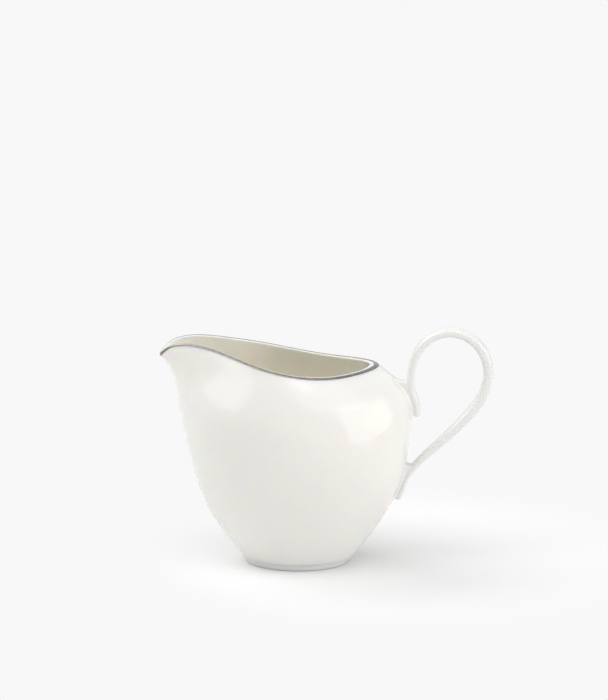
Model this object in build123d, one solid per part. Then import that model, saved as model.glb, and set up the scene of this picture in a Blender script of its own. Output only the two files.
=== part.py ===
from build123d import *
import math
import os

import numpy as np

# A porcelain cream jug, in mm. The origin is the middle of the foot, on the table. The spout
# points along -X, the handle stands at +X, and +Z is up. The jug is the same on both sides of
# the XZ plane.
#
# Every level of the wall is an egg-shaped loop. At the angle t, measured round the jug from
# the spout, the loop stands at
#     x = centre - half_length * cos(t) - push * exp(-(t / spread)^2)
#     y = half_width * sin(t) * (1 + skew * cos(t))
# where the push draws the front of the loop out into the spout.

# Body, outside
FOOT_FRONT = 22.2            # reach of the foot from the origin towards the spout
FOOT_BACK = 22.2             # and towards the handle
FOOT_WIDTH = 38.0
BELLY_FRONT = 49.3           # reach of the belly, at its fullest level
BELLY_BACK = 48.8
BELLY_WIDTH = 78.8
JUG_HEIGHT = 100.0           # height of the wall before the rim is cut from it
SPOUT_PUSH = 35.5            # how far the spout is drawn out at that height
SPREAD_LOW = 0.9             # half angle of the spout in radians, low on the wall
SPREAD_HIGH = 0.47           # and at the rim
SPREAD_FALL = (0.40, 0.96)   # it narrows between these shares of the height
SKEW = 0.25                  # how much fuller the mouth is towards the spout than at the back
SKEW_RISE = (0.50, 0.84)     # it grows from nothing between these shares of the height

# The swell of the wall between foot and belly: level as a share of the height, then the share
# of the way from the foot's reach to the belly's at the front, back and side, then the share
# of the spout's push
SWELL = [
    (0.00, 0.000, 0.000, 0.000, 0.000),
    (0.04, 0.089, 0.120, 0.123, 0.000),
    (0.14, 0.369, 0.406, 0.422, 0.000),
    (0.28, 0.675, 0.722, 0.750, 0.000),
    (0.44, 0.871, 0.932, 0.961, 0.000),
    (0.60, 1.000, 1.000, 1.000, 0.065),
    (0.74, 1.100, 0.932, 0.826, 0.340),
    (0.84, 1.185, 0.583, 0.575, 0.575),
    (0.92, 1.417, 0.184, 0.348, 0.788),
    (1.00, 1.616, -0.154, 0.120, 1.000),
]

# The rim seen from the side: place as a share of the belly's reach, height as a share of the
# jug's height
RIM = [
    (-1.217, 0.891), (-1.136, 0.936), (-1.014, 0.963), (-0.811, 0.962), (-0.527, 0.931),
    (-0.243, 0.894), (0.041, 0.866), (0.328, 0.856), (0.697, 0.869),
]

# Body, inside and underneath
WALL = 2.3                   # wall at the belly
SPOUT_WALL = 1.6             # wall at the tip of the spout
BASE = 2.6                   # thickness of the floor
FLOOR_RADIUS = 6.0           # round between the floor and the wall inside
LIP_ROUND = 0.6              # round along the outer edge of the rim
FOOT_HEIGHT = 2.6            # depth of the hollow under the jug
FOOT_RING = 2.6              # width of the ring that the jug stands on
FOOT_ROUND = 0.6             # round along both edges of that ring

# Platinum line
LINE_DROP = 1.0              # how far the line comes down the lip
LINE_DEPTH = 0.3             # thickness that the line takes from the lip

# Handle: a flat strip that bends up from the shoulder, round, and down to the lower belly
STRIP_WIDTH = 8.4            # across the jug
STRIP_CORNER = 0.9           # round along the strip's four edges
SLIP = 0.45                  # slip between the strip and the wall
SLIP_SHY = 0.2               # how far the slip stays inside the strip's edges
UPPER_SEAT = (64.8, 69.2, 73.5)  # heights where the upper end lies on the wall
LOWER_SEAT = (28.2, 32.5, 36.8)  # heights where the lower end lies on the wall
LOOP_RADIUS = 16.4           # from the middle of the loop to the middle of the strip
LOOP_REACH = 16.2            # from the fullest back of the belly to the middle of the loop
LOOP_HEIGHT = 84.4           # height of the middle of the loop
UPPER_FILLET = 79.3          # height that the slip fills between the strip and the shoulder
LOWER_FILLET = 42.6          # and between the strip and the wall above the lower end
FILLET_RISE = 1.6            # how far the slip climbs both sides above that
# The turn of the loop: angle in degrees, distance as a share of the loop's radius
LOOP_TURN = [(184, 1.0), (135, 0.965), (90, 1.0), (45, 0.988), (0, 1.0), (-38, 1.09),
             (-74, 1.37), (-98, 1.99)]
# Thickness of the strip, at shares of its length from the upper end
STRIP_THICKNESS = [(0.0, 3.4), (0.13, 3.6), (0.35, 4.0), (0.55, 4.7), (0.75, 3.6), (0.9, 2.5),
                   (1.0, 2.3)]

# Fineness of the modelling, not of the jug
STRIP_SPARE = 2.5            # length of strip past its lower end, cut off square
LOOP_POINTS = 40
SPOUT_CROWDING = 0.5         # how much closer the points of a loop lie at the spout
WALL_LEVELS = [0, 0.04, 0.09, 0.14, 0.21, 0.28, 0.36, 0.44, 0.52, 0.6, 0.67, 0.74, 0.79, 0.84,
               0.88, 0.92, 0.95, 0.98]
RIM_SPARE = 1.5              # how far the rim's cut runs past the belly, as a share
RIM_POINTS = 13
STRIP_SECTIONS = 25
SLIP_STEPS = 240             # points along the strip's middle that the slip reaches to
REACH_OUT = 90.0             # past every side of the jug


def natural_spline(xs, ys):
    """A smooth curve y(x) through the points, straight beyond the first and the last."""
    xs, ys = np.asarray(xs, float), np.asarray(ys, float)
    step = np.diff(xs)
    slope = np.diff(ys) / step
    n = len(xs)
    matrix, right = np.eye(n), np.zeros(n)
    for i in range(1, n - 1):
        matrix[i, i - 1:i + 2] = step[i - 1], 2 * (step[i - 1] + step[i]), step[i]
        right[i] = 6 * (slope[i] - slope[i - 1])
    bend = np.linalg.solve(matrix, right)
    first = slope[0] - step[0] * bend[1] / 6
    last = slope[-1] + step[-1] * bend[-2] / 6

    def curve(x):
        x = np.asarray(x, float)
        i = np.clip(np.searchsorted(xs, x) - 1, 0, n - 2)
        h, left, gone = step[i], xs[i + 1] - x, x - xs[i]
        inside = (
            (bend[i] * left**3 + bend[i + 1] * gone**3) / (6 * h)
            + (ys[i] / h - bend[i] * h / 6) * left
            + (ys[i + 1] / h - bend[i + 1] * h / 6) * gone
        )
        before = ys[0] + first * (x - xs[0])
        after = ys[-1] + last * (x - xs[-1])
        return np.where(x < xs[0], before, np.where(x > xs[-1], after, inside))

    return curve


def smooth_step(share):
    """Rises from 0 to 1 without a corner at either end."""
    share = np.clip(share, 0, 1)
    return share * share * (3 - 2 * share)


def station_curve(column, low, high):
    """A size of the wall against height, from the swell's column and its two end values."""
    heights = [row[0] * JUG_HEIGHT for row in SWELL]
    return natural_spline(heights, [low + (high - low) * row[column] for row in SWELL])


front_reach = station_curve(1, FOOT_FRONT, BELLY_FRONT)
back_reach = station_curve(2, FOOT_BACK, BELLY_BACK)
half_width = station_curve(3, FOOT_WIDTH / 2, BELLY_WIDTH / 2)
spout_push = station_curve(4, 0.0, SPOUT_PUSH)
rim_height = natural_spline(
    [share * (BELLY_FRONT if share < 0 else BELLY_BACK) for share, _ in RIM],
    [share * JUG_HEIGHT for _, share in RIM],
)


def wall_surface(t, z):
    """The outside of the wall at the angle t round from the spout and the height z."""
    t, z = np.broadcast_arrays(np.asarray(t, float), np.asarray(z, float))
    level = z / JUG_HEIGHT
    push = spout_push(z)
    half_length = (back_reach(z) + front_reach(z) - push) / 2
    centre = (back_reach(z) - front_reach(z) + push) / 2
    narrowed = smooth_step((level - SPREAD_FALL[0]) / (SPREAD_FALL[1] - SPREAD_FALL[0]))
    spread = SPREAD_LOW + (SPREAD_HIGH - SPREAD_LOW) * narrowed
    skew = SKEW * smooth_step((level - SKEW_RISE[0]) / (SKEW_RISE[1] - SKEW_RISE[0]))
    x = centre - half_length * np.cos(t) - push * np.exp(-((t / spread) ** 2))
    y = half_width(z) * np.sin(t) * (1 + skew * np.cos(t))
    return np.stack([x, y, z], axis=-1)


def inset_points(t, z, depth):
    """The wall's points at t and z, moved level into the jug until the wall is depth thick."""
    small = 1e-4
    round_jug = wall_surface(t + small, z) - wall_surface(t - small, z)
    up_jug = wall_surface(t, z + small) - wall_surface(t, z - small)
    inward = np.cross(round_jug, up_jug)
    inward /= np.linalg.norm(inward, axis=-1, keepdims=True)
    flat = inward * np.array([1.0, 1.0, 0.0])
    level_share = np.sum(flat**2, axis=-1, keepdims=True)
    return wall_surface(t, z) + flat * np.asarray(depth)[..., None] / level_share


def wall_loop(z, depth, spout_depth):
    """The closed loop of the wall at z, set in by depth, or by spout_depth at the spout."""
    # It starts at the side of the jug, clear of the spout and the handle.
    turn = math.pi / 2 + np.arange(LOOP_POINTS) * 2 * math.pi / LOOP_POINTS
    t = turn - SPOUT_CROWDING * np.sin(turn)
    t = np.where(t > math.pi, t - 2 * math.pi, t)
    thickness = depth + (spout_depth - depth) * np.exp(-((t / SPREAD_HIGH) ** 2))
    points = inset_points(t, np.full_like(t, z), thickness)
    steps = [i / LOOP_POINTS for i in range(LOOP_POINTS + 1)]
    return Wire([Edge.make_spline([tuple(p) for p in points], periodic=True, parameters=steps)])


def wall_solid(bottom, depth=0.0, spout_depth=0.0):
    """The body filled solid from this height up, set in by depth."""
    levels = [bottom] + [s * JUG_HEIGHT for s in WALL_LEVELS if s * JUG_HEIGHT > bottom + 1.0]
    return Solid.make_loft([wall_loop(z, depth, spout_depth) for z in levels])


def across(face, half):
    """A face in the XZ plane, made a solid that reaches half to each side in Y."""
    return extrude(Pos(0, -half, 0) * face, amount=2 * half, dir=(0, 1, 0))


def below_rim(drop):
    """Everything lower than the rim by drop."""
    xs = np.linspace(-RIM_SPARE * BELLY_FRONT, BELLY_BACK, RIM_POINTS)
    top = Edge.make_spline([(x, 0, float(rim_height(x)) - drop) for x in xs])
    first, last = top @ 0, top @ 1
    rest = Polyline(first, (-REACH_OUT, 0, first.Z), (-REACH_OUT, 0, -1), (REACH_OUT, 0, -1),
                    (REACH_OUT, 0, last.Z), last)
    return across(make_face([top, *rest.edges()]), REACH_OUT)


def slab(low, high):
    """Everything between two heights."""
    return Pos(0, 0, (low + high) / 2) * Box(4 * REACH_OUT, 4 * REACH_OUT, high - low)


def seat_point(z, thickness):
    """Middle of the strip where it lies on the back of the wall at this height."""
    lean = float(back_reach(z + 0.01) - back_reach(z - 0.01)) / 0.02
    out = (SLIP + thickness / 2) / math.hypot(1, lean)
    return float(back_reach(z)) + out, z - lean * out


def strip_route():
    """Points (x, z) that the middle of the strip passes, from upper end to lower end."""
    middle = BELLY_BACK + LOOP_REACH
    loop = [(middle + LOOP_RADIUS * share * math.cos(math.radians(angle)),
             LOOP_HEIGHT + LOOP_RADIUS * share * math.sin(math.radians(angle)))
            for angle, share in LOOP_TURN]
    upper = [seat_point(z, STRIP_THICKNESS[0][1]) for z in UPPER_SEAT]
    spare = LOWER_SEAT[0] - STRIP_SPARE
    lower = [seat_point(z, STRIP_THICKNESS[-1][1]) for z in (*LOWER_SEAT[:0:-1], spare)]
    return upper + loop + lower


def strip_curve():
    """Place and direction of the strip's middle against the share of its length."""
    route = np.array(strip_route())
    gone = np.concatenate([[0], np.cumsum(np.hypot(*np.diff(route, axis=0).T))])
    x_at = natural_spline(gone / gone[-1], route[:, 0])
    z_at = natural_spline(gone / gone[-1], route[:, 1])

    def at(share):
        near = 1e-4
        point = np.array([float(x_at(share)), float(z_at(share))])
        ahead = np.array([float(x_at(share + near)), float(z_at(share + near))]) - point
        return point, ahead / np.linalg.norm(ahead)

    return at


def make_handle():
    """The strip: one loft of rounded rectangles along its route, cut off square below."""
    at = strip_curve()
    thickness = natural_spline(*zip(*STRIP_THICKNESS))
    sections = []
    for share in np.linspace(0, 1, STRIP_SECTIONS):
        (x, z), (along_x, along_z) = at(share)
        plane = Plane(origin=(x, 0, z), x_dir=(along_z, 0, -along_x), z_dir=(along_x, 0, along_z))
        outline = RectangleRounded(float(thickness(share)), STRIP_WIDTH, STRIP_CORNER)
        sections.append((plane * outline).face().outer_wire())
    return Solid.make_loft(sections) - slab(LOWER_SEAT[0] - REACH_OUT, LOWER_SEAT[0])


def make_slip(filled_body, handle, middle, low, high):
    """Slip from the height low up to high, between the wall and the middle of the strip."""
    top = high + FILLET_RISE
    strip_side = [(float(x), 0, float(z)) for x, z in middle if low <= z <= top]
    wall_side = [(float(back_reach(z)) - WALL / 2, 0, z) for z in np.linspace(top, low, 9)]
    start, end = Vector(*strip_side[-1]), Vector(*wall_side[0])
    hollow = ThreePointArc(start, Vector((start.X + end.X) / 2, 0, high), end)
    sides = Polyline(*wall_side, *strip_side)
    block = across(make_face([hollow.edge(), *sides.edges()]), STRIP_WIDTH / 2 - SLIP_SHY)
    return block - filled_body - handle


def make_shell(filled_body):
    """Wall, spout and floor, with the rim cut and the foot left off."""
    inside = wall_solid(FOOT_HEIGHT + BASE, WALL, SPOUT_WALL)
    inside = inside.fillet(FLOOR_RADIUS, inside.edges().group_by(Axis.Z)[0])
    return ((filled_body - inside) & below_rim(0.0)) - slab(0, FOOT_HEIGHT)


def line_skin(shell):
    """The skin of the lip that the painted line takes up, while its edges are still sharp."""
    core = wall_solid(FOOT_HEIGHT, LINE_DEPTH, LINE_DEPTH) & below_rim(LINE_DEPTH)
    return (shell - below_rim(LINE_DROP) - core).solid()


def round_line(skin):
    """The painted line, with the outer edge of the lip rounded."""
    around = skin.edges().filter_by(lambda edge: edge.length > BELLY_WIDTH)
    at_top = around.sort_by(lambda edge: edge.bounding_box().max.Z)[-2:]
    return skin.fillet(LIP_ROUND, at_top.sort_by(lambda edge: edge.length)[-1:])


def make_foot_ring(filled_body):
    """The standing ring, with the hollow inside it and its lower edges rounded."""
    hollow = extrude(make_face(wall_loop(0.0, FOOT_RING, FOOT_RING)), amount=FOOT_HEIGHT)
    ring = (filled_body & slab(0, FOOT_HEIGHT)) - hollow
    return ring.solid().fillet(FOOT_ROUND, ring.edges().group_by(Axis.Z)[0])


def main():
    filled_body = wall_solid(0.0)
    shell = make_shell(filled_body)
    skin = line_skin(shell)
    handle = make_handle()
    at = strip_curve()
    middle = [at(share)[0] for share in np.linspace(0, 1, SLIP_STEPS)]
    near_upper, near_lower = middle[:SLIP_STEPS // 3], middle[:-SLIP_STEPS // 3:-1]
    upper = make_slip(filled_body, handle, near_upper, UPPER_SEAT[0] + SLIP_SHY, UPPER_FILLET)
    lower = make_slip(filled_body, handle, near_lower, LOWER_SEAT[0] + SLIP_SHY, LOWER_FILLET)
    pieces = {
        "body": shell - skin,
        "foot_ring": make_foot_ring(filled_body),
        "handle": handle,
        "upper_slip_joint": upper,
        "lower_slip_joint": lower,
        "rim_line": round_line(skin),
    }
    os.makedirs("parts", exist_ok=True)
    for name, piece in pieces.items():
        print(name, len(piece.solids()), "solid", round(piece.volume, 1), "mm3")
        export_step(piece, f"parts/{name}.step")


main()
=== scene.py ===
"""A porcelain cream jug: an egg-shaped body drawn out into a spout, on a low foot ring, with a
bent strip handle set on with slip, and a platinum line painted round the lip.

Sizes are in millimetres, as the jug's maker gives them, and become metres where a mesh is made.
The origin is the middle of the foot on the table, the spout points along -X, the handle stands
at +X and +Z is up.
"""
import logging
import math
from collections.abc import Callable, Sequence
from dataclasses import dataclass
from enum import Enum

import bpy
import numpy as np
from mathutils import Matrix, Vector


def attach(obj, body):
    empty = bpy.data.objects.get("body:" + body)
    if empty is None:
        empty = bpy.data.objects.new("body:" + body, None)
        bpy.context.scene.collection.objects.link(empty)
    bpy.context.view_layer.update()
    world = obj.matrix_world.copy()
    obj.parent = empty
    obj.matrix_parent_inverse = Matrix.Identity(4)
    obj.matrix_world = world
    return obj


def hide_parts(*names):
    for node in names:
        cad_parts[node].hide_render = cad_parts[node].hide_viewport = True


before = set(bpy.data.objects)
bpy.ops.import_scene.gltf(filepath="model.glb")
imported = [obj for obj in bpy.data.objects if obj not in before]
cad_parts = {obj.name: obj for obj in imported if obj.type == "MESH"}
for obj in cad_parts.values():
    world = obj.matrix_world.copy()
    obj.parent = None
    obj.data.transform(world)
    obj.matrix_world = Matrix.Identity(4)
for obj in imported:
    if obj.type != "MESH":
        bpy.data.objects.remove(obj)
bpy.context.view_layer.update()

LOG = logging.getLogger("cream_jug")
MILLIMETRE = 0.001
# step that a slope is measured over, in radians, millimetres or shares of a length
SMALL = 1e-4

Numbers = np.ndarray | Sequence[float]
Curve = Callable[[Numbers], np.ndarray]
Colour = tuple[float, float, float]


# ---------------------------------------------------------------- curves and meshes


def natural_spline(xs: Numbers, ys: Numbers) -> Curve:
    """Makes a smooth curve y(x) through points, straight beyond the first and the last.

    Between neighbours the curve is a cubic, and its slope and bend carry on unbroken from one
    span to the next. The bend is nothing at both ends.

    Args:
        xs: Places of the points, rising.
        ys: Heights of the points.

    Returns:
        A function from an array of x to an array of y.
    """
    xs, ys = np.asarray(xs, float), np.asarray(ys, float)
    step = np.diff(xs)
    slope = np.diff(ys) / step
    count = len(xs)
    matrix, right = np.eye(count), np.zeros(count)
    inner = np.arange(1, count - 1)
    matrix[inner, inner - 1] = step[:-1]
    matrix[inner, inner] = 2 * (step[:-1] + step[1:])
    matrix[inner, inner + 1] = step[1:]
    right[inner] = 6 * np.diff(slope)
    bend = np.linalg.solve(matrix, right)
    first = slope[0] - step[0] * bend[1] / 6
    last = slope[-1] + step[-1] * bend[-2] / 6

    def curve(x: Numbers) -> np.ndarray:
        """Works out the curve, with the bends weighted by the cubes of both distances.

        Args:
            x: Places, anywhere.

        Returns:
            Height of the curve at each of them.
        """
        x = np.asarray(x, float)
        i = np.clip(np.searchsorted(xs, x) - 1, 0, count - 2)
        h, left, gone = step[i], xs[i + 1] - x, x - xs[i]
        between = (
            (bend[i] * left**3 + bend[i + 1] * gone**3) / (6 * h)
            + (ys[i] / h - bend[i] * h / 6) * left
            + (ys[i + 1] / h - bend[i + 1] * h / 6) * gone
        )
        before = ys[0] + first * (x - xs[0])
        after = ys[-1] + last * (x - xs[-1])
        return np.where(x < xs[0], before, np.where(x > xs[-1], after, between))

    return curve


def smooth_step(share: np.ndarray) -> np.ndarray:
    """Rises from 0 to 1 as three times the square less twice the cube, with no corner."""
    share = np.clip(share, 0, 1)
    return share * share * (3 - 2 * share)


def bent_corner(start: np.ndarray, corner: np.ndarray, end: np.ndarray, share: Numbers
                ) -> np.ndarray:
    """Rounds a corner with the parabola that leaves start and reaches end along its two legs.

    The point is start, corner and end weighted by (1-s)^2, 2s(1-s) and s^2.

    Args:
        start: Points where the round begins, any number of columns by 3.
        corner: Points of the sharp corner.
        end: Points where the round ends.
        share: How far along the round each row stands, from 0 to 1.

    Returns:
        One row of points for each share.
    """
    s = np.asarray(share, float)[:, None, None]
    return (1 - s) ** 2 * start + 2 * s * (1 - s) * corner + s**2 * end


def straight_rows(start: np.ndarray, end: np.ndarray, share: Numbers) -> np.ndarray:
    """Rows of points on the straight lines from start to end, one row for each share."""
    s = np.asarray(share, float)[:, None, None]
    return (1 - s) * start + s * end


class Ends(Enum):
    """How the first and the last ring of a grid are closed."""

    POLES = "each end ring is closed to a point in its middle"
    JOINED = "the last ring is joined to the first"


def grid_faces(rings: int, around: int, ends: Ends) -> tuple[np.ndarray, np.ndarray]:
    """Faces of a grid of rings, each ring closed on itself.

    Args:
        rings: Number of rings.
        around: Points in each ring.
        ends: How the first and last rings are closed.

    Returns:
        The four-sided faces, then the three-sided ones, as rows of point numbers.
    """
    ring = np.arange(rings if ends is Ends.JOINED else rings - 1)
    a, b = np.meshgrid(ring, np.arange(around), indexing="ij")
    c, d = (a + 1) % rings, (b + 1) % around
    quads = np.stack([a * around + b, a * around + d, c * around + d, c * around + b], -1)
    if ends is Ends.JOINED:
        return quads.reshape(-1, 4), np.empty((0, 3), int)
    b = np.arange(around)
    d = (b + 1) % around
    first, last = rings * around, (rings - 1) * around
    low = np.stack([np.full(around, first), d, b], -1)
    high = np.stack([np.full(around, first + 1), last + b, last + d], -1)
    return quads.reshape(-1, 4), np.concatenate([low, high])


def enclosed_volume(points: np.ndarray, quads: np.ndarray, triangles: np.ndarray) -> float:
    """Volume inside a closed mesh: a sixth of the sum of a . (b x c) over its triangles.

    Args:
        points: Corner points of the mesh.
        quads: Its four-sided faces.
        triangles: Its three-sided faces.

    Returns:
        The volume, negative where the faces point inwards.
    """
    halves = np.concatenate([quads[:, [0, 1, 2]], quads[:, [0, 2, 3]], triangles])
    a, b, c = (points[halves[:, k]] for k in range(3))
    return float(np.sum(a * np.cross(b, c)) / 6)


def make_piece(name: str, grid: np.ndarray, ends: Ends, crease: float = 40.0,
               depth: np.ndarray | None = None) -> bpy.types.Object:
    """Makes a closed, smooth-shaded object from a grid of rings.

    Args:
        name: Name of the new object.
        grid: Points in millimetres, rings by points round the ring by 3.
        ends: How the first and last rings are closed.
        crease: Angle in degrees past which an edge is left sharp.
        depth: How deep in the bowl each ring lies, from 0 to 1, kept as the mesh's "depth".

    Returns:
        The object, at the origin, with its faces pointing outwards.
    """
    rings, around, _ = grid.shape
    points = grid.reshape(-1, 3)
    if ends is Ends.POLES:
        points = np.concatenate([points, grid[[0, -1]].mean(axis=1)])
    quads, triangles = grid_faces(rings, around, ends)
    if enclosed_volume(points, quads, triangles) < 0:
        quads, triangles = quads[:, ::-1], triangles[:, ::-1]
    mesh = bpy.data.meshes.new(name)
    mesh.from_pydata((points * MILLIMETRE).tolist(), [], quads.tolist() + triangles.tolist())
    mesh.shade_smooth()
    mesh.set_sharp_from_angle(angle=math.radians(crease))
    if depth is not None:
        values = np.append(np.repeat(depth, around), depth[[0, -1]])
        layer = mesh.attributes.new("depth", "FLOAT", "POINT")
        layer.data.foreach_set("value", values.astype(np.float32))
    mesh.update()
    piece = bpy.data.objects.new(name, mesh)
    bpy.context.scene.collection.objects.link(piece)
    return piece


def outward_normals(grid: np.ndarray) -> np.ndarray:
    """Unit normals of a grid: the cross product of the step round a ring and the step along.

    Args:
        grid: Points, rings by points round the ring by 3.

    Returns:
        One normal for each point.
    """
    along = np.gradient(grid, axis=0)
    around = np.roll(grid, -1, axis=1) - np.roll(grid, 1, axis=1)
    normal = np.cross(around, along)
    return normal / np.linalg.norm(normal, axis=-1, keepdims=True)


# ---------------------------------------------------------------- finishes


class Nodes:
    """A small drawing board for the nodes of a material or of the world."""

    # the colour sockets of Blender's Mix node, which has others of the same names
    MIX_COLOUR_INPUTS = (0, 6, 7)
    MIX_COLOUR_OUTPUT = 2

    def __init__(self, owner: bpy.types.Material | bpy.types.World,
                 output: str = "ShaderNodeOutputMaterial") -> None:
        """Starts an empty node tree with its output.

        Args:
            owner: The material or world that the nodes belong to.
            output: Blender's name for the type of its output node.
        """
        self.owner = owner
        owner.use_nodes = True
        self.tree = owner.node_tree
        self.tree.nodes.clear()
        self.output = self.add(output)

    @classmethod
    def of_material(cls, name: str) -> "Nodes":
        """Starts the nodes of a new material."""
        return cls(bpy.data.materials.new(name))

    def add(self, kind: str, settings: dict | None = None, **inputs: object) -> bpy.types.Node:
        """Adds a node.

        Args:
            kind: Blender's name for the node's type.
            settings: Properties of the node itself.
            **inputs: Values for its sockets, or sockets to link to them, by name with
                underscores for spaces.

        Returns:
            The node.
        """
        node = self.tree.nodes.new(kind)
        for key, value in (settings or {}).items():
            setattr(node, key, value)
        for key, value in inputs.items():
            self.feed(node, key.replace("_", " "), value)
        return node

    def feed(self, node: bpy.types.Node, key: str | int, value: object) -> None:
        """Sets one socket of a node, or links another node's socket to it.

        Args:
            node: The node.
            key: Name or number of its socket.
            value: The value, or the socket that gives it.
        """
        socket = node.inputs[key]
        if isinstance(value, bpy.types.NodeSocket):
            self.tree.links.new(value, socket)
        else:
            socket.default_value = value

    def place(self) -> bpy.types.NodeSocket:
        """The place of a point on the object itself."""
        return self.add("ShaderNodeTexCoord").outputs["Object"]

    def noise(self, scale: float, detail: float = 3.0) -> bpy.types.NodeSocket:
        """Soft random cloud between 0 and 1, with this many cells to the metre."""
        node = self.add("ShaderNodeTexNoise", Vector=self.place(), Scale=scale, Detail=detail)
        return node.outputs["Fac"]

    def spread(self, value: bpy.types.NodeSocket, low: float, high: float,
               start: float = 0.3, stop: float = 0.7) -> bpy.types.NodeSocket:
        """Maps start to stop onto low to high, and holds it there outside."""
        node = self.add("ShaderNodeMapRange", {"clamp": True}, Value=value, From_Min=start,
                        From_Max=stop, To_Min=low, To_Max=high)
        return node.outputs["Result"]

    def blend(self, share: bpy.types.NodeSocket, one: tuple | bpy.types.NodeSocket,
              other: tuple | bpy.types.NodeSocket) -> bpy.types.NodeSocket:
        """Blends two colours.

        Args:
            share: How much of the second colour there is, from 0 to 1.
            one: The first colour.
            other: The second colour.

        Returns:
            The blended colour.
        """
        node = self.add("ShaderNodeMix", {"data_type": "RGBA"})
        for key, value in zip(self.MIX_COLOUR_INPUTS, (share, one, other)):
            self.feed(node, key, value)
        return node.outputs[self.MIX_COLOUR_OUTPUT]

    def mixed(self, share: bpy.types.NodeSocket, one: bpy.types.Node,
              other: bpy.types.Node) -> bpy.types.Node:
        """Mixes two shaders.

        Args:
            share: How much of the second shader there is, from 0 to 1.
            one: The first shader.
            other: The second shader.

        Returns:
            The node that mixes them.
        """
        node = self.add("ShaderNodeMixShader")
        for key, value in enumerate((share, one.outputs[0], other.outputs[0])):
            self.feed(node, key, value)
        return node

    def combine(self, operation: str, one: bpy.types.NodeSocket,
                other: bpy.types.NodeSocket) -> bpy.types.NodeSocket:
        """Puts two numbers together.

        Args:
            operation: Blender's name for the sum to do.
            one: The first number.
            other: The second number.

        Returns:
            The answer.
        """
        node = self.add("ShaderNodeMath", {"operation": operation})
        self.feed(node, 0, one)
        self.feed(node, 1, other)
        return node.outputs[0]

    def ripple(self, height: bpy.types.NodeSocket, depth: float) -> bpy.types.NodeSocket:
        """Bump of this depth in millimetres."""
        node = self.add("ShaderNodeBump", Height=height, Distance=depth * MILLIMETRE, Strength=1.0)
        return node.outputs["Normal"]

    def finish(self, shader: bpy.types.Node) -> bpy.types.Material | bpy.types.World:
        """Joins the shader to the output and hands over the material or world."""
        self.tree.links.new(shader.outputs[0], self.output.inputs["Surface"])
        return self.owner


@dataclass(frozen=True)
class GlazedPorcelain:
    """White porcelain under a clear glaze that has pooled and thinned a little as it melted.

    Noise scales are cells to the metre.
    """

    name: str
    white: Colour = (0.835, 0.828, 0.806)
    thick_glaze: Colour = (0.822, 0.819, 0.799)
    cloud_scale: float = 28.0
    glaze_index: float = 1.5
    glaze_roughness: tuple[float, float] = (0.075, 0.120)
    roughness_scale: float = 160.0
    ripple_depth: float = 0.012
    ripple_scale: float = 45.0
    # iron specks: how strong, how big, and which part of the noise shows as a speck
    speck: Colour = (0.62, 0.58, 0.50)
    speck_share: float = 0.06
    speck_scale: float = 900.0
    speck_cut: tuple[float, float] = (0.76, 0.84)
    # how much light goes into the clay, and how far red, green and blue spread there
    translucency: float = 0.0
    light_spread: Colour = (1.0, 0.75, 0.5)
    light_depth: float = 2.5

    def material(self) -> bpy.types.Material:
        """Builds the porcelain: cloudy thickness of glaze, faint specks and a slow ripple.

        Returns:
            The material.
        """
        nodes = Nodes.of_material(self.name)
        ripple = nodes.noise(self.ripple_scale, detail=1.0)
        return nodes.finish(self.glazed(
            nodes,
            Subsurface_Weight=self.translucency,
            Subsurface_Radius=self.light_spread,
            Subsurface_Scale=self.light_depth * MILLIMETRE,
            Normal=nodes.ripple(ripple, self.ripple_depth)))

    def glazed(self, nodes: Nodes, **more: object) -> bpy.types.Node:
        """Adds the glazed clay's shader.

        Args:
            nodes: The nodes to add it to.
            **more: Further sockets of the shader.

        Returns:
            The shader.
        """
        roughness = nodes.spread(nodes.noise(self.roughness_scale), *self.glaze_roughness)
        return nodes.add(
            "ShaderNodeBsdfPrincipled", IOR=self.glaze_index, Specular_IOR_Level=0.5,
            Base_Color=self.colour(nodes), Roughness=roughness, **more)

    def colour(self, nodes: Nodes) -> bpy.types.NodeSocket:
        """White, a shade greener where the glaze is thick, with a few pin-sized specks.

        Args:
            nodes: The nodes to add it to.

        Returns:
            The colour.
        """
        cloud = nodes.spread(nodes.noise(self.cloud_scale), 0.0, 1.0)
        glazed = nodes.blend(cloud, (*self.white, 1), (*self.thick_glaze, 1))
        dots = nodes.noise(self.speck_scale, detail=0.0)
        specks = nodes.spread(dots, 0.0, self.speck_share, *self.speck_cut)
        return nodes.blend(specks, glazed, (*self.speck, 1))


@dataclass(frozen=True)
class BowlPorcelain(GlazedPorcelain):
    """The same porcelain, with painted light down in the bowl: a brighter cream colour that stands
    in for light coming through the wall and bouncing round inside.
    """

    # painted light: this cream is brighter than the white and stands in for light through the wall
    # and light bouncing round the bowl
    cream: Colour = (0.950, 0.940, 0.860)
    translucency: float = 1.0

    def colour(self, nodes: Nodes) -> bpy.types.NodeSocket:
        """The glazed white, blended with the mesh's depth in the bowl to a brighter cream that
        paints in the bowl's light.
        """
        depth = nodes.add("ShaderNodeAttribute", {"attribute_name": "depth"}).outputs["Fac"]
        return nodes.blend(depth, super().colour(nodes), (*self.cream, 1))


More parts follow.
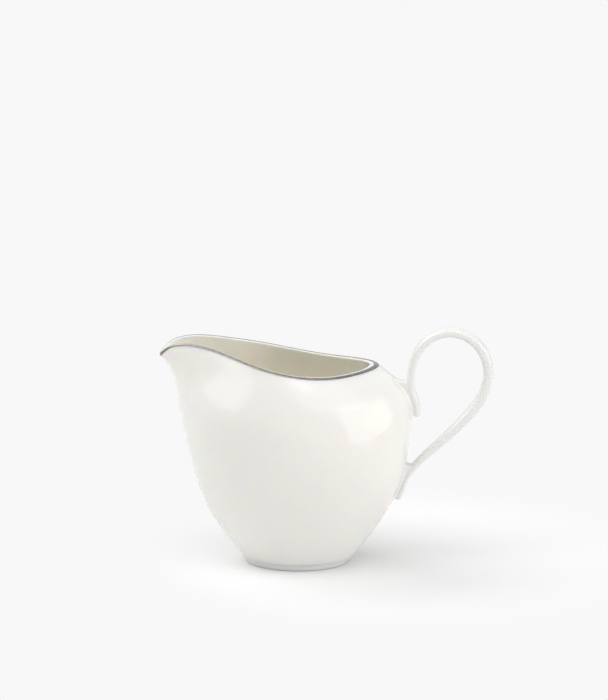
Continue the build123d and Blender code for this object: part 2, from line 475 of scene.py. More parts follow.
@dataclass(frozen=True)
class FootPorcelain(GlazedPorcelain):
    """The same porcelain, wiped clean of glaze and ground flat where it stands."""

    bare: Colour = (0.80, 0.775, 0.735)
    dust: Colour = (0.70, 0.67, 0.62)
    dust_share: float = 0.5
    # the edge is bare below the first of these heights, and glazed above the second
    bare_heights: tuple[float, float] = (0.132, 0.308)
    bare_index: float = 1.45
    bare_shine: float = 0.2
    bare_roughness: tuple[float, float] = (0.72, 0.92)
    grit_scale: float = 2200.0
    grit_depth: float = 0.03

    def material(self) -> bpy.types.Material:
        """Builds the glazed side and the dry, faintly gritty edge below it.

        Returns:
            The material.
        """
        nodes = Nodes.of_material(self.name)
        height = nodes.add("ShaderNodeSeparateXYZ", Vector=nodes.place()).outputs["Z"]
        bare = nodes.spread(height, 1.0, 0.0, *(h * MILLIMETRE for h in self.bare_heights))
        grit = nodes.noise(self.grit_scale, detail=2.0)
        dusty = nodes.blend(nodes.spread(grit, 0.0, self.dust_share), (*self.bare, 1),
                            (*self.dust, 1))
        dry = nodes.add(
            "ShaderNodeBsdfPrincipled", IOR=self.bare_index, Specular_IOR_Level=self.bare_shine,
            Base_Color=dusty, Roughness=nodes.spread(grit, *self.bare_roughness),
            Normal=nodes.ripple(grit, self.grit_depth))
        return nodes.finish(nodes.mixed(bare, self.glazed(nodes), dry))


@dataclass(frozen=True)
class PlatinumLine:
    """Fired platinum, laid on with a brush and burnished, a little thinner in places, its colour
    painted dark as a painted reflection of dark surroundings.
    """

    name: str
    # painted reflection: both colours are far darker than platinum and stand in for dark
    # surroundings it would mirror; the lighter one marks thinner places
    platinum_painted_dark: Colour = (0.190, 0.165, 0.150)
    thin_platinum_painted_dark: Colour = (0.270, 0.245, 0.225)
    stroke_scale: float = 420.0
    stroke_depth: float = 0.01
    roughness: tuple[float, float] = (0.22, 0.40)
    roughness_scale: float = 700.0

    def material(self) -> bpy.types.Material:
        """Builds the platinum with brush marks, burnishing and its painted dark reflection.

        Returns:
            The material.
        """
        nodes = Nodes.of_material(self.name)
        strokes = nodes.noise(self.stroke_scale, detail=4.0)
        colour = nodes.blend(nodes.spread(strokes, 0.0, 1.0), (*self.platinum_painted_dark, 1), (*self.thin_platinum_painted_dark, 1))
        return nodes.finish(nodes.add(
            "ShaderNodeBsdfPrincipled", Metallic=1.0, Base_Color=colour,
            Roughness=nodes.spread(nodes.noise(self.roughness_scale), *self.roughness),
            Normal=nodes.ripple(strokes, self.stroke_depth)))


# ---------------------------------------------------------------- the wall's form


class Swell(Enum):
    """Columns of the wall's swell."""

    LEVEL = 0
    FRONT = 1
    BACK = 2
    SIDE = 3
    PUSH = 4


@dataclass(frozen=True)
class WallForm:
    """The egg-shaped wall: reaches of its loops against height, its rim and its thickness.

    At the angle t, measured round the jug from the spout, the loop at a height stands at
    x = centre - half_length * cos(t) - push * exp(-(t / spread)^2) and
    y = half_width * sin(t) * (1 + skew * cos(t)).
    """

    # a reach is how far the front and the back of a loop stand from the middle of the foot
    foot_reach: tuple[float, float] = (22.2, 22.2)
    foot_width: float = 38.0
    belly_reach: tuple[float, float] = (49.3, 48.8)
    belly_width: float = 78.8
    height: float = 100.0
    spout_push: float = 35.5
    # low and high on the jug, in radians, and between which shares of the height it narrows
    spread: tuple[float, float] = (0.9, 0.47)
    spread_fall: tuple[float, float] = (0.40, 0.96)
    # at the top, and between which shares of the height it grows from nothing
    skew: float = 0.25
    skew_rise: tuple[float, float] = (0.50, 0.84)
    # level, then shares of the swell at the front, back and side, then the share of the push
    swell: tuple[tuple[float, ...], ...] = (
        (0.00, 0.000, 0.000, 0.000, 0.000),
        (0.04, 0.089, 0.120, 0.123, 0.000),
        (0.14, 0.369, 0.406, 0.422, 0.000),
        (0.28, 0.675, 0.722, 0.750, 0.000),
        (0.44, 0.871, 0.932, 0.961, 0.000),
        (0.60, 1.000, 1.000, 1.000, 0.065),
        (0.74, 1.100, 0.932, 0.826, 0.340),
        (0.84, 1.185, 0.583, 0.575, 0.575),
        (0.92, 1.417, 0.184, 0.348, 0.788),
        (1.00, 1.616, -0.154, 0.120, 1.000),
    )
    # place as a share of the belly's reach, height as a share of the jug's height
    rim: tuple[tuple[float, float], ...] = (
        (-1.217, 0.891), (-1.136, 0.936), (-1.014, 0.963), (-0.811, 0.962), (-0.527, 0.931),
        (-0.243, 0.894), (0.041, 0.866), (0.328, 0.856), (0.697, 0.869),
    )
    wall: float = 2.3
    spout_wall: float = 1.6
    foot_height: float = 2.6
    outer_round: float = 0.7
    inner_round: float = 0.55
    # points round a loop, and how far they crowd together at the spout
    steps_round: int = 224
    crowding: float = 0.5
    # where the rim's height is looked for, as shares of the jug's height, and how often halved
    rim_search: tuple[float, float] = (0.55, 1.02)
    halvings: int = 40

    def station(self, column: Swell, low: float, high: float) -> Curve:
        """A reach against height, from one column of the swell and the values of 0 and 1.

        Args:
            column: The column.
            low: The reach where the column says 0.
            high: The reach where it says 1.

        Returns:
            The reach, as a smooth curve of the height.
        """
        rows = np.array(self.swell)
        level, share = rows[:, Swell.LEVEL.value], rows[:, column.value]
        return natural_spline(level * self.height, low + (high - low) * share)

    def back_reach(self, z: Numbers) -> np.ndarray:
        """How far the back of the wall stands from the middle of the foot."""
        return self.station(Swell.BACK, self.foot_reach[1], self.belly_reach[1])(z)

    def half_width(self, z: np.ndarray) -> np.ndarray:
        """Half the width of the loop at this height."""
        return self.station(Swell.SIDE, self.foot_width / 2, self.belly_width / 2)(z)

    def skew_at(self, z: np.ndarray) -> np.ndarray:
        """How much fuller the loop is towards the spout at this height."""
        first, last = self.skew_rise
        return self.skew * smooth_step((z / self.height - first) / (last - first))

    def rim_height(self, x: np.ndarray) -> np.ndarray:
        """Height of the rim seen from the side.

        Args:
            x: Places along the jug.

        Returns:
            The rim's height at each of them.
        """
        places = [share * self.belly_reach[0 if share < 0 else 1] for share, _ in self.rim]
        return natural_spline(places, [level * self.height for _, level in self.rim])(x)

    def turns(self) -> np.ndarray:
        """Angles round the jug: even steps less a share of their sine, from -pi to pi.

        Returns:
            The angles, closer together at the spout.
        """
        turn = np.arange(self.steps_round) * 2 * math.pi / self.steps_round
        t = turn - self.crowding * np.sin(turn)
        return np.where(t > math.pi, t - 2 * math.pi, t)

    def surface(self, t: Numbers, z: Numbers) -> np.ndarray:
        """Outside of the wall, by the formula of this class.

        Args:
            t: Angles round from the spout.
            z: Heights.

        Returns:
            Points, with one more axis than t and z have together.
        """
        t, z = np.broadcast_arrays(np.asarray(t, float), np.asarray(z, float))
        front = self.station(Swell.FRONT, self.foot_reach[0], self.belly_reach[0])(z)
        back = self.back_reach(z)
        push = self.station(Swell.PUSH, 0.0, self.spout_push)(z)
        first, last = self.spread_fall
        fallen = smooth_step((z / self.height - first) / (last - first))
        spread = self.spread[0] + (self.spread[1] - self.spread[0]) * fallen
        x = (
            (back - front + push) / 2
            - (back + front - push) / 2 * np.cos(t)
            - push * np.exp(-((t / spread) ** 2))
        )
        y = self.half_width(z) * np.sin(t) * (1 + self.skew_at(z) * np.cos(t))
        return np.stack([x, y, z], axis=-1)

    def inset(self, t: np.ndarray, z: np.ndarray, depth: np.ndarray) -> np.ndarray:
        """Wall points moved level into the jug until the wall is depth thick.

        The inward normal is the cross product of the steps round and up the wall. The point
        moves by the level part of it, times depth, over that part's length squared.

        Args:
            t: Angles round from the spout.
            z: Heights.
            depth: Thickness of the wall, negative to stand proud of it.

        Returns:
            The points on the inside of the wall.
        """
        t, z, depth = np.broadcast_arrays(t, z, depth)
        around = self.surface(t + SMALL, z) - self.surface(t - SMALL, z)
        upward = self.surface(t, z + SMALL) - self.surface(t, z - SMALL)
        inward = np.cross(around, upward)
        inward /= np.linalg.norm(inward, axis=-1, keepdims=True)
        level = inward * np.array([1.0, 1.0, 0.0])
        return self.surface(t, z) + level * depth[..., None] / np.sum(level**2, -1, keepdims=True)

    def thickness(self, t: np.ndarray) -> np.ndarray:
        """Thickness of the wall, which thins towards the spout."""
        return self.wall + (self.spout_wall - self.wall) * np.exp(-((t / self.spread[1]) ** 2))

    def rim_level(self, t: np.ndarray, depth: np.ndarray) -> np.ndarray:
        """Height where the wall, set in by depth, meets the rim, found by halving.

        Args:
            t: Angles round from the spout.
            depth: How far inside the outer surface the wall is followed.

        Returns:
            One height for each angle.
        """
        low, high = (np.full_like(t, share * self.height) for share in self.rim_search)
        for _ in range(self.halvings):
            middle = (low + high) / 2
            above = middle > self.rim_height(self.inset(t, middle, depth)[..., 0])
            low, high = np.where(above, low, middle), np.where(above, middle, high)
        return low

    def lip(self, share: Numbers, t: np.ndarray) -> np.ndarray:
        """The lip's outline, carried round the rim.

        From 0 to 1 it is the round of the outer edge, from 1 to 2 the top, and from 2 to 3 the
        round of the inner edge.

        Args:
            share: Places along the outline, from 0 to 3.
            t: Angles round from the spout.

        Returns:
            Points, one row for each share and one column for each angle.
        """
        share = np.asarray(share, float)
        thick, none = self.thickness(t), np.zeros_like(t)
        outer_level, inner_level = self.rim_level(t, none), self.rim_level(t, thick)
        outer, inner = self.surface(t, outer_level), self.inset(t, inner_level, thick)
        inwards = inner - outer
        inwards /= np.linalg.norm(inwards, axis=-1, keepdims=True)
        start = self.surface(t, outer_level - self.outer_round)
        finish = self.inset(t, inner_level - self.inner_round, thick)
        near = outer + inwards * self.outer_round
        far = inner - inwards * self.inner_round
        outside = bent_corner(start, outer, near, np.clip(share, 0, 1))
        top = straight_rows(near, far, np.clip(share - 1, 0, 1))
        inside = bent_corner(far, inner, finish, np.clip(share - 2, 0, 1))
        place = share[:, None, None]
        return np.where(place < 1, outside, np.where(place < 2, top, inside))


# ---------------------------------------------------------------- pieces


@dataclass
class Body:
    """The wall, the spout, the lip and the floor, in one cast piece."""

    form: WallForm
    base: float = 2.6
    floor_round: float = 3.6
    # how far the round runs in over the floor, as a share of its height on the wall
    floor_lean: float = 1.4
    # numbers of rings: underside, each side of the wall, lip, round in the bowl and its floor
    under_rings: int = 7
    wall_rings: int = 70
    lip_rings: int = 28
    bend_rings: int = 12
    floor_rings: int = 9
    # how near the middle the first ring of the underside and the last of the floor lie, as shares
    pole_gaps: tuple[float, float] = (0.10, 0.05)
    # how deep the lip's last ring counts, and the share of the way down where the depth is full
    lip_depth: float = 0.15
    full_depth: float = 0.35
    node: str = "body"
    slot: str = "glazed_porcelain"

    def grid(self) -> np.ndarray:
        """Rings from the middle of the underside, up the outside, over the lip and down inside.

        Returns:
            Points, one row for each ring.
        """
        form, t = self.form, self.form.turns()
        thick, none = form.thickness(t), np.zeros_like(t)
        low = form.surface(t, np.full_like(t, form.foot_height))
        middle = low.mean(axis=0) + np.zeros_like(low)
        under = straight_rows(middle, low, np.linspace(self.pole_gaps[0], 1, self.under_rings))
        rise = np.linspace(0, 1, self.wall_rings + 2)[1:-1, None]
        outer_top = form.rim_level(t, none) - form.outer_round
        outside = form.surface(t[None], form.foot_height + rise * (outer_top - form.foot_height))
        lip = form.lip(np.linspace(0, 3, self.lip_rings), t)
        floor = form.foot_height + self.base
        inner_top = form.rim_level(t, thick) - form.inner_round
        lowest = floor + self.floor_round
        inside = form.inset(t[None], inner_top - rise * (inner_top - lowest), thick[None])
        corner = form.inset(t, np.full_like(t, floor), thick)
        middle = corner.mean(axis=0) + np.zeros_like(corner)
        reach = np.linalg.norm(corner - middle, axis=-1, keepdims=True)
        flat = corner + (middle - corner) * self.floor_lean * self.floor_round / reach
        start = form.inset(t, np.full_like(t, lowest), thick)
        bend = bent_corner(start, corner, flat, np.linspace(0, 1, self.bend_rings))
        inwards = np.linspace(0, 1 - self.pole_gaps[1], self.floor_rings + 1)[1:]
        floor_rows = straight_rows(flat, middle, inwards)
        return np.concatenate([under, outside, lip, inside, bend, floor_rows])

    def depth(self) -> np.ndarray:
        """How deep in the bowl each ring lies, for the painted light in the glaze's colour.

        Returns:
            0 outside, a little at the lip's inner edge and 1 from a third of the way down.
        """
        outside = np.zeros(self.under_rings + self.wall_rings)
        lip = np.linspace(0, self.lip_depth, self.lip_rings)
        sunk = smooth_step(np.linspace(0, 1, self.wall_rings) / self.full_depth)
        inside = self.lip_depth + (1 - self.lip_depth) * sunk
        return np.concatenate([outside, lip, inside, np.ones(self.bend_rings + self.floor_rings)])

    def build(self) -> bpy.types.Object:
        """Makes the body."""
        return make_piece("body_glazed", self.grid(), Ends.POLES, depth=self.depth())


@dataclass
class FootRing:
    """The ring that the jug stands on, with the hollow inside it."""

    form: WallForm
    width: float = 2.6
    edge_round: float = 0.6
    # numbers of rings: outside, each rounded edge, inside, and across the ground edge and top
    side_rings: int = 8
    edge_rings: int = 8
    inner_rings: int = 5
    flat_rings: int = 3
    node: str = "foot_ring"
    slot: str = "foot_porcelain"

    def grid(self) -> np.ndarray:
        """Rings round the ring's own outline: outside, ground edge, inside and top.

        Returns:
            Points, one row for each place on the outline.
        """
        form, t, r = self.form, self.form.turns(), self.edge_round
        flat = np.zeros_like(t)
        up = np.array([0.0, 0.0, 1.0])
        outer = form.surface(t, flat)
        inner = form.inset(t, flat, flat + self.width)
        inwards = (inner - outer) / np.linalg.norm(inner - outer, axis=-1, keepdims=True)
        heights = np.linspace(form.foot_height, r, self.side_rings)[:, None]
        outside = form.surface(t[None], heights + flat)
        turn = np.linspace(0, 1, self.edge_rings)
        outer_edge = bent_corner(outside[-1], outer, outer + inwards * r, turn)
        inner_edge = bent_corner(inner - inwards * r, inner, inner + up * r, turn)
        across = np.linspace(0, 1, self.flat_rings + 2)[1:-1]
        ground = straight_rows(outer_edge[-1], inner_edge[0], across)
        rise = np.linspace(r, form.foot_height, self.inner_rings + 1)[1:, None, None]
        inside = inner + up * rise
        top = straight_rows(inside[-1], outside[0], across)
        return np.concatenate([outside, outer_edge[1:], ground, inner_edge, inside, top])

    def build(self) -> bpy.types.Object:
        """Makes the foot ring."""
        return make_piece("foot_ring_glazed", self.grid(), Ends.JOINED)


@dataclass
class RimLine:
    """The platinum film that wraps the outer edge of the lip."""

    form: WallForm
    # from where to where on the lip's outline, how far proud of it and how far let into it
    band: tuple[float, float] = (0.05, 1.22)
    proud: float = 0.03
    sunk: float = 0.12
    # the face falls off by this power of the distance from its middle, to just below the glaze
    fall: int = 6
    edge_below: float = 0.004
    rings_across: int = 18
    node: str = "rim_line"
    slot: str = "platinum_line"

    def grid(self) -> np.ndarray:
        """Rings along the film's own outline: its face, which thins to both edges, then its back.

        Returns:
            Points, one row for each place on the outline.
        """
        lip = self.form.lip(np.linspace(*self.band, self.rings_across), self.form.turns())
        normal = outward_normals(lip)
        place = np.linspace(-1, 1, self.rings_across)[:, None, None]
        face = lip + normal * (self.proud * (1 - place**self.fall) - self.edge_below)
        back = lip - normal * self.sunk
        return np.concatenate([face, back[::-1]])

    def build(self) -> bpy.types.Object:
        """Makes the line."""
        return make_piece("rim_line_platinum", self.grid(), Ends.JOINED)


@dataclass
class Handle:
    """A flat strip that bends up from the shoulder, round, and down to the lower belly."""

    form: WallForm
    width: float = 8.4
    squareness: float = 3.0
    slip: float = 0.45
    end_round: float = 0.5
    upper_seat: tuple[float, float, float] = (64.8, 69.2, 73.5)
    lower_seat: tuple[float, float, float] = (28.2, 32.5, 36.8)
    loop_radius: float = 16.4
    loop_reach: float = 16.2
    loop_height: float = 84.4
    # angle in degrees and distance from the middle of the loop, as a share of its radius
    loop_turn: tuple[tuple[float, float], ...] = (
        (184, 1.0), (135, 0.965), (90, 1.0), (45, 0.988), (0, 1.0), (-38, 1.09), (-74, 1.37),
        (-98, 1.99),
    )
    # share of the length from the upper end, and thickness there
    thickness: tuple[tuple[float, float], ...] = (
        (0.0, 3.4), (0.13, 3.6), (0.35, 4.0), (0.55, 4.7), (0.75, 3.6), (0.9, 2.5), (1.0, 2.3),
    )
    # the route runs on below the lower end by this much, so that it ends on the wall's line
    spare: float = 2.5
    # over this length before the lower end, the rings lean until the last is level
    lean_length: float = 7.0
    rings: int = 190
    end_rings: int = 7
    around: int = 56
    # the lower end is looked for past this share of the route, on a line of this many points
    late: float = 0.8
    fine: int = 4001
    node: str = "handle"
    slot: str = "handle_porcelain"

    def seat(self, z: Numbers, thickness: float) -> np.ndarray:
        """Middle of the strip where it lies on the back of the wall.

        The wall's back, plus half the strip and the slip along the wall's normal.

        Args:
            z: Heights on the wall.
            thickness: The strip's thickness there.

        Returns:
            Rows of (x, z).
        """
        z = np.asarray(z, float)
        back = self.form.back_reach
        lean = (back(z + SMALL) - back(z - SMALL)) / (2 * SMALL)
        out = (self.slip + thickness / 2) / np.hypot(1, lean)
        return np.stack([back(z) + out, z - lean * out], axis=-1)

    def route(self) -> np.ndarray:
        """Points that the middle of the strip passes: upper seat, loop, lower seat.

        Returns:
            Rows of (x, z), from the upper end to the lower end.
        """
        degrees, share = np.array(self.loop_turn).T
        angle, reach = np.radians(degrees), share * self.loop_radius
        middle = self.form.belly_reach[1] + self.loop_reach
        loop = np.stack([middle + reach * np.cos(angle), self.loop_height + reach * np.sin(angle)],
                        axis=-1)
        upper = self.seat(self.upper_seat, self.thickness[0][1])
        spare = self.lower_seat[0] - self.spare
        lower = self.seat((*self.lower_seat[:0:-1], spare), self.thickness[-1][1])
        return np.concatenate([upper, loop, lower])

    def middle_line(self, share: Numbers) -> tuple[np.ndarray, np.ndarray]:
        """Place and direction of the strip's middle.

        Two natural splines give x and z against the share of the length along the route.

        Args:
            share: Shares of the route's length.

        Returns:
            Rows of (x, z), and rows of the unit direction.
        """
        route = self.route()
        gone = np.concatenate([[0], np.cumsum(np.hypot(*np.diff(route, axis=0).T))])
        curves = [natural_spline(gone / gone[-1], route[:, k]) for k in range(2)]
        share = np.asarray(share, float)
        here = np.stack([curve(share) for curve in curves], -1)
        ahead = np.stack([curve(share + SMALL) for curve in curves], -1) - here
        return here, ahead / np.linalg.norm(ahead, axis=-1, keepdims=True)

    def stations(self) -> tuple[np.ndarray, np.ndarray]:
        """Places of the rings and how far each is drawn in, so that both ends are softened.

        Over the last half millimetre the ring draws in by r(1 - cos) while it gains r sin.

        Returns:
            Shares of the route's length, and insets in millimetres.
        """
        fine = np.linspace(0, 1, self.fine)
        line, _ = self.middle_line(fine)
        length = float(np.hypot(*np.diff(line, axis=0).T).sum())
        late = fine > self.late
        stop = float(np.interp(-self.lower_seat[0], -line[late, 1], fine[late]))
        turn = np.linspace(math.pi / 2, 0, self.end_rings)
        r, inset = self.end_round / length, self.end_round * (1 - np.cos(turn))
        gained = r * (1 - np.sin(turn))
        body = np.linspace(r, stop - r, self.rings)[1:-1]
        shares = np.concatenate([gained, body, stop - gained[::-1]])
        return shares, np.concatenate([inset, np.zeros(len(body)), inset[::-1]])

    def grid(self) -> np.ndarray:
        """Rings of the strip, each a rounded oblong square to the strip's middle.

        The oblong is the curve (|u| / a)^n + (|v| / b)^n = 1 with n the squareness. Towards the
        lower end the rings lean until the last is level, because that end is cut level.

        Returns:
            Points, one row for each ring.
        """
        share, inset = self.stations()
        line, along = self.middle_line(share)
        thick = natural_spline(*zip(*self.thickness))(share)
        turn = np.arange(self.around) * 2 * math.pi / self.around
        power = 2 / self.squareness
        u = np.sign(np.cos(turn)) * np.abs(np.cos(turn)) ** power
        v = np.sign(np.sin(turn)) * np.abs(np.sin(turn)) ** power
        across = u * (thick / 2 - inset)[:, None]
        sideways = v * (self.width / 2 - inset)[:, None]
        normal = np.stack([along[:, 1], -along[:, 0]], -1)
        x = line[:, 0, None] + across * normal[:, 0, None]
        z = line[:, 1, None] + across * normal[:, 1, None]
        left = np.hypot(*(line - line[-1]).T)
        lean = smooth_step(1 - left / self.lean_length) * (share > self.late)
        slide = -lean[:, None] * across * normal[:, 1, None] / along[:, 1, None]
        x, z = x + slide * along[:, 0, None], z + slide * along[:, 1, None]
        return np.stack([x, sideways + np.zeros_like(x), z], axis=-1)

    def build(self) -> bpy.types.Object:
        """Makes the handle."""
        return make_piece("handle_glazed", self.grid(), Ends.POLES)


class Seat(Enum):
    """Which end of the handle a slip joint holds."""

    UPPER = "upper_slip_joint"
    LOWER = "lower_slip_joint"


@dataclass
class SlipJoint:
    """Slip that fills the gap between an end of the strip and the wall, sponged into a bead."""

    form: WallForm
    handle: Handle
    seat: Seat
    fillet: float
    # how much lower the concave top is in its middle
    rise: float = 1.6
    # how far the sponged bead spreads, how much further below the end, and how deep it is
    bead: float = 0.75
    end_bead: float = 0.2
    bead_depth: float = 1.1
    # how far the slip stays inside the strip's sides and above its lower end
    shy: float = 0.3
    end_shy: float = 0.4
    # how far it runs on into the wall
    sunk: float = 0.3
    # points along each side of a ring, their crowding to the wall, rings and rings in a cap
    side_points: int = 24
    crowding: float = 1.6
    rings: int = 60
    cap_rings: int = 9
    cap_shrink: tuple[float, float] = (0.05, 0.97)
    # points looked up along the strip, and repeats of the step that finds an angle on the wall
    line_points: int = 3000
    repeats: int = 8
    slot: str = "slip_glaze"

    @property
    def node(self) -> str:
        """Name of the joint's node."""
        return self.seat.value

    def strip_side(self, z: np.ndarray) -> np.ndarray:
        """Looks up the middle of the strip on this seat.

        Args:
            z: Heights.

        Returns:
            The middle's x at each of them.
        """
        line, _ = self.handle.middle_line(np.linspace(0, 1, self.line_points))
        third = self.line_points // 3
        part = line[:third] if self.seat is Seat.UPPER else line[:-third - 1:-1]
        top = int(np.argmax(part[:, 1]))
        return np.interp(z, part[:top, 1], part[:top, 0])

    def wall_side(self, y: np.ndarray, z: np.ndarray) -> np.ndarray:
        """Where the back of the wall stands this far off the jug's middle.

        The angle from the back is the one whose sine is y over the loop's half width there,
        found by repeating that step.

        Args:
            y: Distances across the jug.
            z: Heights.

        Returns:
            The wall's x at each of them.
        """
        angle = np.zeros(np.broadcast(y, z).shape)
        for _ in range(self.repeats):
            narrowed = self.form.half_width(z) * (1 - self.form.skew_at(z) * np.cos(angle))
            angle = np.arcsin(y / narrowed)
        return self.form.surface(math.pi - angle, z)[..., 0]

    def place(self, up: np.ndarray, out: np.ndarray, side: np.ndarray) -> np.ndarray:
        """Carries a point of a plain box into the joint.

        Up runs from the lower end to the concave top, out from the wall to the strip's middle,
        and side from one edge of the strip to the other. Near the wall the joint spreads by the
        square of what is left of the bead's depth.

        Args:
            up: Shares of the height.
            out: Shares of the way from the wall to the strip.
            side: Shares of the half width, from -1 to 1.

        Returns:
            The points.
        """
        low = (self.handle.upper_seat if self.seat is Seat.UPPER else self.handle.lower_seat)[0]
        top = self.fillet + self.rise * (2 * out - 1) ** 2
        guess = low + up * (top - low)
        gap = self.strip_side(guess) - self.form.back_reach(guess)
        flare = np.clip(1 - out * gap / self.bead_depth, 0, 1) ** 2
        bottom = low + self.end_shy - (self.bead + self.end_bead) * flare
        z = bottom + up * (top - bottom)
        y = side * (self.handle.width / 2 - self.shy + (self.bead + self.shy) * flare)
        wall = self.wall_side(y, z) - self.sunk
        return np.stack([wall + out * (self.strip_side(z) - wall), y + 0 * z, z], axis=-1)

    def grid(self) -> np.ndarray:
        """Rings of the box's skin: the lower end, the four sides and the top.

        Returns:
            Points, one row for each ring.
        """
        count, cap = self.side_points, self.cap_rings
        edge, ones = np.linspace(-1, 1, count + 1)[:-1], np.ones(count)
        away = np.linspace(0, 1, count + 1)[:-1] ** self.crowding
        back = np.linspace(1, 0, count + 1)[:-1] ** self.crowding
        out = np.concatenate([away, ones, back, 0 * ones])
        side = np.concatenate([-ones, edge, ones, -edge])
        close = np.linspace(*self.cap_shrink, cap)
        shrink = np.concatenate([close, np.ones(self.rings), close[::-1]])[:, None]
        up = np.concatenate([np.zeros(cap), np.linspace(0, 1, self.rings), np.ones(cap)])[:, None]
        return self.place(up + 0 * out, 0.5 + (out - 0.5) * shrink, side * shrink)

    def build(self) -> bpy.types.Object:
        """Makes the joint."""
        return make_piece(f"{self.node}_glazed", self.grid(), Ends.POLES, crease=60.0)


# ---------------------------------------------------------------- studio


def direction(azimuth: float, elevation: float) -> Vector:
    """Unit vector towards a place round the jug.

    Args:
        azimuth: Degrees round from the jug's side, towards its handle.
        elevation: Degrees above the table.

    Returns:
        The vector, away from the jug.
    """
    a, e = math.radians(azimuth), math.radians(elevation)
    return Vector((math.sin(a) * math.cos(e), -math.cos(a) * math.cos(e), math.sin(e)))


@dataclass(frozen=True)
class Softbox:
    """A large soft lamp that faces the jug. Angles are in degrees, lengths in metres."""

    name: str
    azimuth: float
    elevation: float
    width: float
    height: float
    radiance: float
    distance: float = 1.3
    faces: tuple[float, float, float] = (0.0, 0.0, 0.06)

    def build(self) -> None:
        """Makes the lamp. Its power is its radiance times pi times its area."""
        towards = direction(self.azimuth, self.elevation)
        lamp = bpy.data.lights.new(self.name, "AREA")
        lamp.shape = "RECTANGLE"
        lamp.size, lamp.size_y = self.width, self.height
        lamp.energy = self.radiance * math.pi * self.width * self.height
        thing = bpy.data.objects.new(self.name, lamp)
        thing.location = Vector(self.faces) + towards * self.distance
        thing.rotation_euler = towards.to_track_quat("Z", "Y").to_euler()
        bpy.context.scene.collection.objects.link(thing)


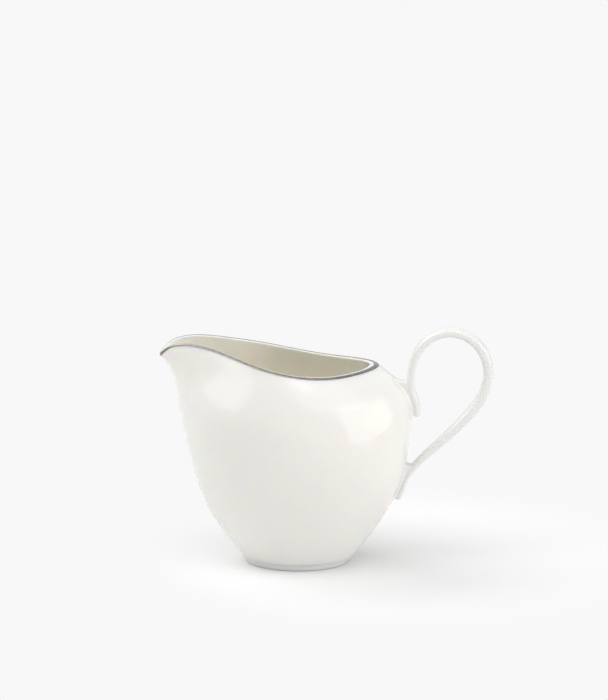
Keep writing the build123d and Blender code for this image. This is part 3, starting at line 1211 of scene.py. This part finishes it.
@dataclass(frozen=True)
class Studio:
    """The pale floor, the lamps, the pale surroundings and the camera."""

    # how pale the surroundings are seen to be, and how strongly they light the jug
    pale: float = 0.939
    ambient: float = 0.42
    floor_size: float = 24.0
    floor_colour: float = 0.895
    # where the shadow falls, and how far from there the floor starts and ends to fade
    shadow_middle: tuple[float, float, float] = (0.050, 0.012, 0.0)
    fade: tuple[float, float] = (0.055, 0.125)
    # name, azimuth, elevation, width, height, radiance
    softboxes: tuple[Softbox, ...] = (
        Softbox("left_softbox", -75.0, 42.0, 1.0, 1.0, 1.3),
        Softbox("left_rear_softbox", -130.0, 45.0, 1.0, 1.0, 2.0),
        Softbox("overhead_softbox", 0.0, 68.0, 1.2, 0.7, 1.5),
        Softbox("right_softbox", 70.0, 19.0, 1.1, 0.9, 1.7),
        Softbox("right_high_softbox", 45.0, 50.0, 1.0, 0.8, 1.0),
    )
    azimuth: float = 3.0
    elevation: float = 13.5
    distance: float = 1.2
    lens: float = 165.25
    sensor_width: float = 36.0
    sees_to: float = 60.0
    target: tuple[float, float, float] = (0.0, 0.0, 0.05)
    # how far right of the target and above it the camera aims, in metres
    aim: tuple[float, float] = (0.00283, 0.04168)

    def build_world(self) -> None:
        """Makes the surroundings: an even grey light that is seen as the pale backdrop.

        It is seen so by the eye, in a mirror and through glass.
        """
        nodes = Nodes(bpy.data.worlds.new("studio"), "ShaderNodeOutputWorld")
        light, seen = (nodes.add("ShaderNodeBackground", Color=(grey, grey, grey, 1))
                       for grey in (self.ambient, self.pale))
        path = nodes.add("ShaderNodeLightPath").outputs
        either = nodes.combine("MAXIMUM", path["Is Camera Ray"], path["Is Glossy Ray"])
        any_of = nodes.combine("MAXIMUM", either, path["Is Transmission Ray"])
        bpy.context.scene.world = nodes.finish(nodes.mixed(any_of, light, seen))

    def floor_material(self) -> bpy.types.Material:
        """Paper-matt floor that takes the shadow, and far off is seen as pale as the backdrop.

        Returns:
            The material.
        """
        nodes = Nodes.of_material("pale_floor")
        distance = nodes.add("ShaderNodeVectorMath", {"operation": "DISTANCE"})
        nodes.feed(distance, 0, nodes.place())
        nodes.feed(distance, 1, self.shadow_middle)
        near, far = self.fade
        away = nodes.add("ShaderNodeMapRange", {"interpolation_type": "SMOOTHSTEP"},
                         Value=distance.outputs["Value"], From_Min=near, From_Max=far,
                         To_Min=0.0, To_Max=1.0)
        path = nodes.add("ShaderNodeLightPath").outputs
        share = nodes.combine("MULTIPLY", away.outputs["Result"], path["Is Camera Ray"])
        matt = nodes.add("ShaderNodeBsdfDiffuse", Color=(self.floor_colour,) * 3 + (1,))
        seen = nodes.add("ShaderNodeEmission", Color=(self.pale,) * 3 + (1,), Strength=1.0)
        return nodes.finish(nodes.mixed(share, matt, seen))

    def build_floor(self) -> None:
        """Makes the floor, a flat square sheet at the height of the table."""
        half = self.floor_size / 2
        corners = [(-half, -half, 0), (half, -half, 0), (half, half, 0), (-half, half, 0)]
        mesh = bpy.data.meshes.new("floor")
        mesh.from_pydata(corners, [], [(0, 1, 2, 3)])
        mesh.materials.append(self.floor_material())
        floor = bpy.data.objects.new("floor", mesh)
        bpy.context.scene.collection.objects.link(floor)

    def build_camera(self) -> None:
        """Makes the camera, which stands in line with the jug and aims above it."""
        back = direction(self.azimuth, self.elevation)
        right = Vector((-back.y, back.x, 0.0)).normalized()
        above = back.cross(right)
        target = Vector(self.target)
        aim = target + right * self.aim[0] + above * self.aim[1]
        camera = bpy.data.objects.new("camera", bpy.data.cameras.new("camera"))
        camera.location = target + back * self.distance
        camera.rotation_euler = (camera.location - aim).to_track_quat("Z", "Y").to_euler()
        camera.data.sensor_fit = "HORIZONTAL"
        camera.data.sensor_width = self.sensor_width
        camera.data.lens = self.lens
        camera.data.clip_end = self.sees_to
        bpy.context.scene.collection.objects.link(camera)
        bpy.context.scene.camera = camera

    def build(self) -> None:
        """Makes the whole studio."""
        self.build_camera()
        self.build_world()
        self.build_floor()
        for softbox in self.softboxes:
            softbox.build()
        bpy.context.scene.view_settings.view_transform = "Standard"


# ---------------------------------------------------------------- the jug


def main() -> None:
    """Builds the jug's pieces in order, dresses them and sets up the studio."""
    logging.basicConfig(level=logging.INFO, format="%(name)s: %(message)s")
    form = WallForm()
    handle = Handle(form)
    slip = GlazedPorcelain("slip_glaze").material()
    pieces = [
        (Body(form), BowlPorcelain("glazed_porcelain").material()),
        (FootRing(form), FootPorcelain("foot_porcelain").material()),
        (handle, GlazedPorcelain("handle_porcelain").material()),
        (SlipJoint(form, handle, Seat.UPPER, fillet=79.3), slip),
        (SlipJoint(form, handle, Seat.LOWER, fillet=42.6), slip),
        (RimLine(form), PlatinumLine("platinum_line").material()),
    ]
    for part, material in pieces:
        piece = part.build()
        piece.data.materials.append(material)
        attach(piece, "root")
        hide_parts(part.node)
        LOG.info("%s stands for %s: %d faces", piece.name, part.node, len(piece.data.polygons))
    Studio().build()


if __name__ == "__main__":
    main()
